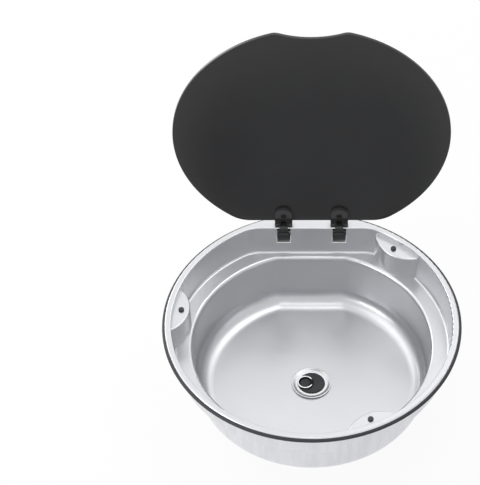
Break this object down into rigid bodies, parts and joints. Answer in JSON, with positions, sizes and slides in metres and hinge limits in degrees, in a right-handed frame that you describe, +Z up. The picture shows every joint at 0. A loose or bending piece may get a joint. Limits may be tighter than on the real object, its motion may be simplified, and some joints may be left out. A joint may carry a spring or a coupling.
{
  "type": "inset sink with lid",
  "caption": "Round pressed steel caravan sink with a flat back, dark glass lid on rear hinges that closes onto rubber bumpers, plug with a pull ring, and waste with a side hose outlet.",
  "frame": {"origin": "centre of the round rim, on the worktop surface that the rubber seal rests on", "axes": "+X to the user's right, +Y towards the hinges at the back, +Z up out of the worktop"},
  "size_m": [0.4173, 0.4174, 0.5309],
  "materials": {
    "stainless_steel": "satin brushed stainless steel",
    "polished_steel": "polished stainless steel",
    "dark_glass": "dark toughened glass, smooth",
    "seal_rubber": "matt black rubber",
    "bumper_rubber": "dark grey rubber",
    "hinge_plastic": "black moulded plastic, fine grain",
    "waste_plastic": "black moulded plastic",
    "plug_plastic": "dark grey moulded plastic",
    "black_screw": "blackened steel"
  },
  "bodies": {
    "bowl": {"sink_bowl": "stainless_steel", "rim_seal": "seal_rubber", "lid_bumper_rear": "bumper_rubber", "lid_bumper_left": "bumper_rubber", "lid_bumper_front": "bumper_rubber", "hinge_housing_left": "hinge_plastic", "hinge_housing_right": "hinge_plastic", "hinge_pin_left": "polished_steel", "hinge_pin_right": "polished_steel", "waste_flange": "polished_steel", "waste_top_gasket": "seal_rubber", "waste_bottom_gasket": "seal_rubber", "waste_body": "waste_plastic", "waste_screw": "polished_steel"},
    "lid": {"lid_glass": "dark_glass", "hinge_arm_left": "hinge_plastic", "hinge_arm_right": "hinge_plastic", "hinge_clamp_left": "hinge_plastic", "hinge_clamp_right": "hinge_plastic", "inner_pad_left": "seal_rubber", "inner_pad_right": "seal_rubber", "outer_pad_left": "seal_rubber", "outer_pad_right": "seal_rubber", "outer_cap_left": "hinge_plastic", "outer_cap_right": "hinge_plastic", "clamp_screw_left": "black_screw", "clamp_screw_right": "black_screw"},
    "plug": {"plug_body": "plug_plastic", "plug_seal": "seal_rubber"},
    "ring": {"pull_ring": "polished_steel"}
  },
  "joints": [
    {"name": "lid_hinge", "type": "hinge", "parent": "bowl", "child": "lid", "pos_m": [0, 0.1808, -0.0067], "axis": [1, 0, 0], "range_deg": [0, 91.5]},
    {"name": "plug_lift", "type": "slide", "parent": "bowl", "child": "plug", "axis": [0, 0, 1], "range_m": [0, 0.06]},
    {"name": "ring_swing", "type": "hinge", "parent": "plug", "child": "ring", "pos_m": [0, 0, -0.1307], "axis": [0, 1, 0], "range_deg": [0, 180]}
  ]
}
